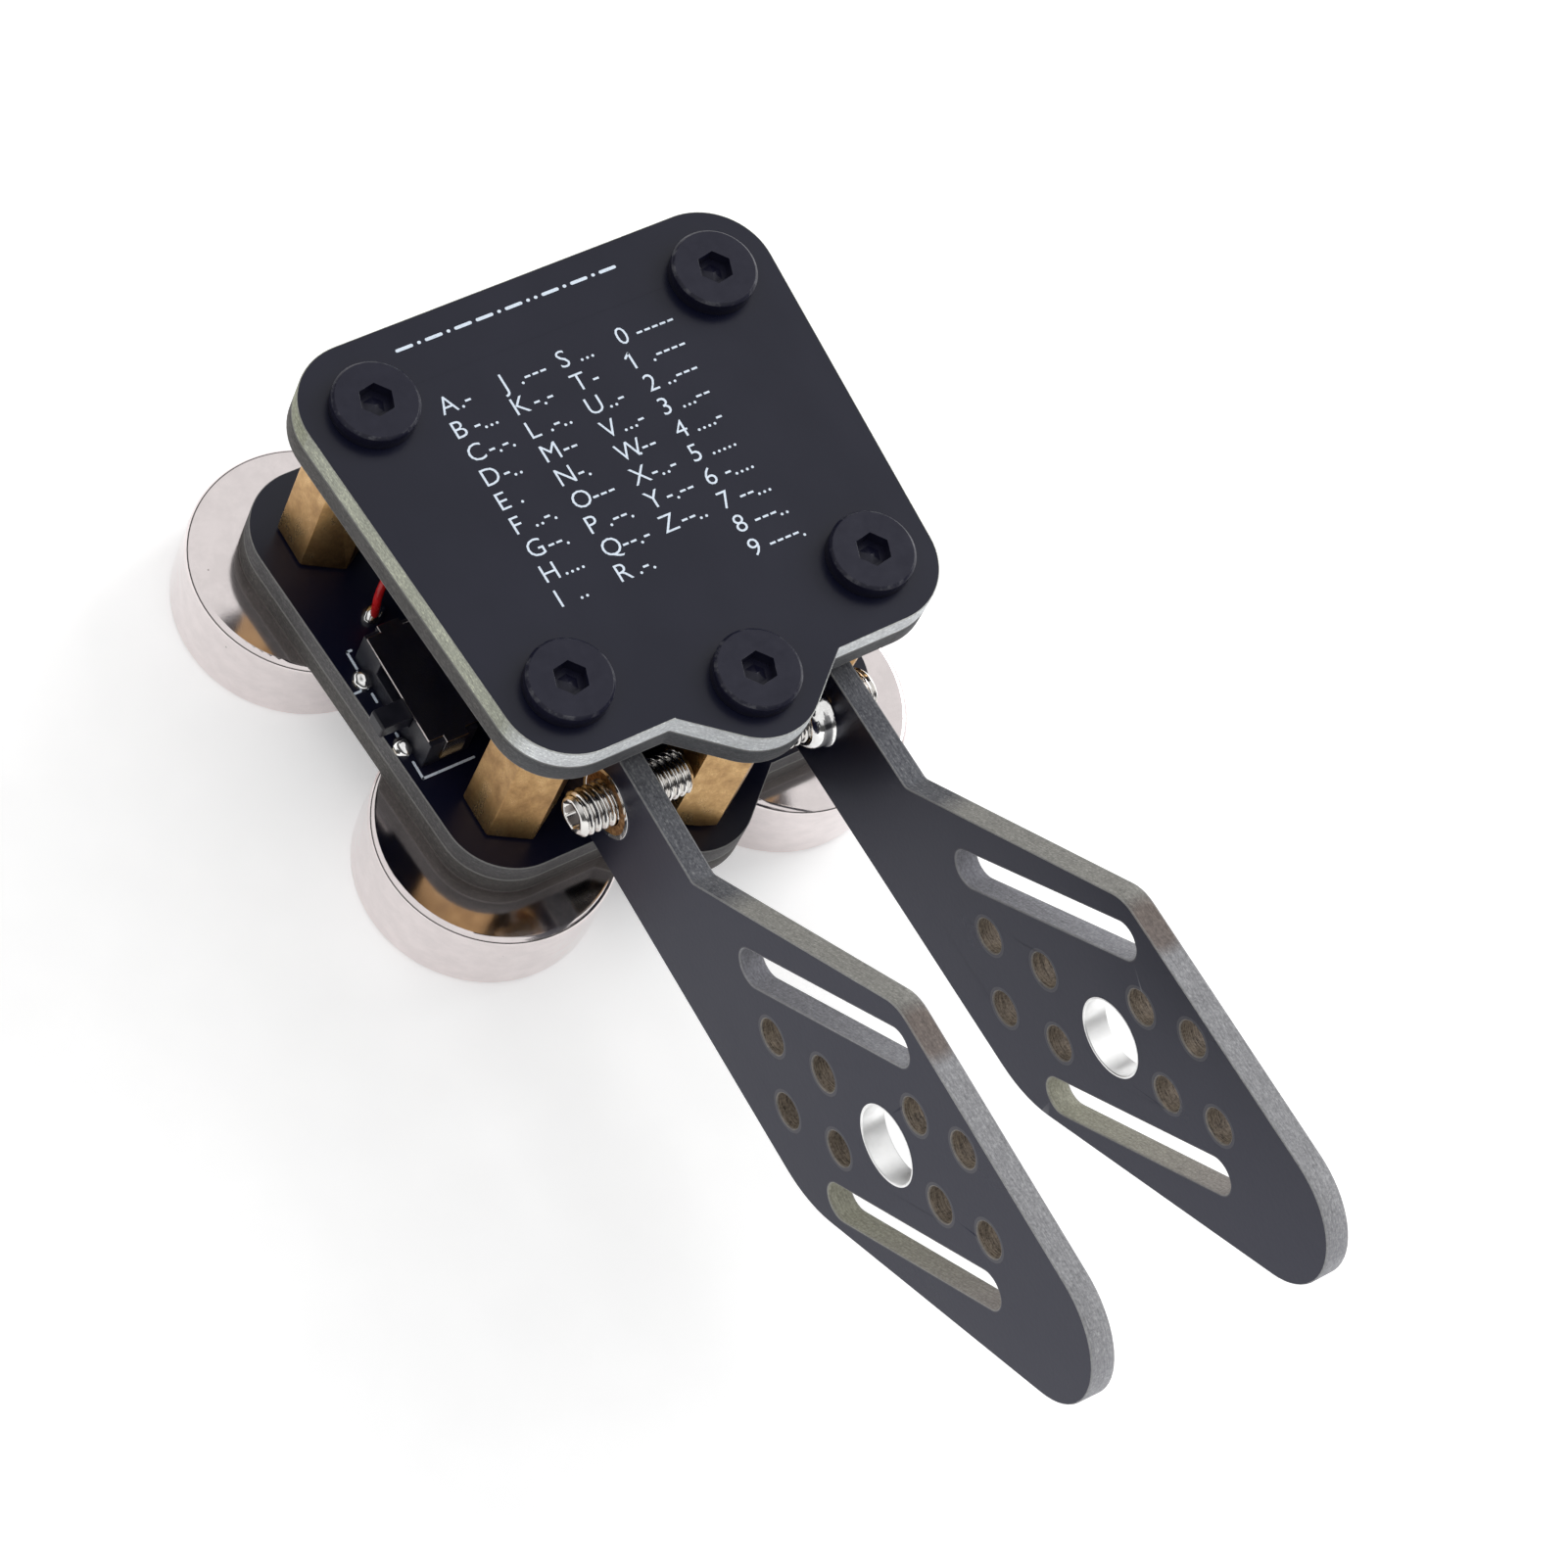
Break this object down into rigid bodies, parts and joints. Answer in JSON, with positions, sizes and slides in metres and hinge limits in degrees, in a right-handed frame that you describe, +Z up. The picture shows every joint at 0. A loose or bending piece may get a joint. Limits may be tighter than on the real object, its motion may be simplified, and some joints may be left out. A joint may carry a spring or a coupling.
{
  "type": "twin paddle morse key",
  "caption": "Twin-paddle morse key of stacked circuit boards on magnet feet, with adjustable contact screws, a slide switch and a plug socket.",
  "frame": {"origin": "centre of the four corner screws, on the plane that the undersides of the four base magnets rest on", "axes": "+X to the operator's right, +Y away from the operator, with the paddles reaching along -Y, +Z up"},
  "size_m": [0.0404, 0.0812, 0.0345],
  "materials": {
    "board": "satin black solder mask on glass-fibre board",
    "standoff_brass": "drawn hexagonal brass, slightly tarnished",
    "black_screw": "black oxide",
    "magnet_nickel": "bright nickel plate",
    "tinned_bush": "tinned, soldered into the board",
    "set_screw": "nickel-plated steel",
    "wire_sleeve": "red wire insulation",
    "black_plastic": "moulded black plastic",
    "switch_cover": "darkened sheet steel",
    "terminal": "tinned brass strip"
  },
  "bodies": {
    "frame": {"base_plate_outer": "board", "base_plate_inner": "board", "top_plate_inner": "board", "top_plate_outer": "board", "corner_standoffs": "standoff_brass", "contact_post": "standoff_brass", "top_screws": "black_screw", "base_magnets": "magnet_nickel", "magnet_screws": "black_screw", "post_screw": "black_screw", "left_wire": "wire_sleeve", "right_wire": "wire_sleeve", "switch_body": "black_plastic", "switch_shell": "switch_cover", "switch_pins": "terminal", "jack_body": "black_plastic", "jack_nose": "magnet_nickel", "jack_contacts": "terminal"},
    "left_paddle": {"left_paddle": "board", "left_threaded_bush": "tinned_bush", "left_return_magnet": "magnet_nickel"},
    "right_paddle": {"right_paddle": "board", "right_threaded_bush": "tinned_bush", "right_return_magnet": "magnet_nickel"},
    "left_contact_screw": {"left_contact_screw": "set_screw"},
    "right_contact_screw": {"right_contact_screw": "set_screw"},
    "switch_slider": {"switch_slider": "black_plastic"}
  },
  "joints": [
    {"name": "left_paddle_press", "type": "hinge", "parent": "frame", "child": "left_paddle", "pos_m": [-0.0073, 0.0055, 0.0152], "axis": [0, 0, 1], "range_deg": [0, 0.918], "stiffness_Nm_per_rad": 0.05, "springref_deg": -8.02},
    {"name": "left_screw_adjust", "type": "slide", "parent": "left_paddle", "child": "left_contact_screw", "axis": [-0.9999, 0.0157, 0], "range_m": [0, 0.0015]},
    {"name": "right_paddle_press", "type": "hinge", "parent": "frame", "child": "right_paddle", "pos_m": [0.0073, 0.0055, 0.0152], "axis": [0, 0, -1], "range_deg": [0, 0.918], "stiffness_Nm_per_rad": 0.05, "springref_deg": -8.02},
    {"name": "right_screw_adjust", "type": "slide", "parent": "right_paddle", "child": "right_contact_screw", "axis": [0.9999, 0.0157, 0], "range_m": [0, 0.0015]},
    {"name": "switch_slide", "type": "slide", "parent": "frame", "child": "switch_slider", "axis": [0, 1, 0], "range_m": [0, 0.0024]}
  ]
}
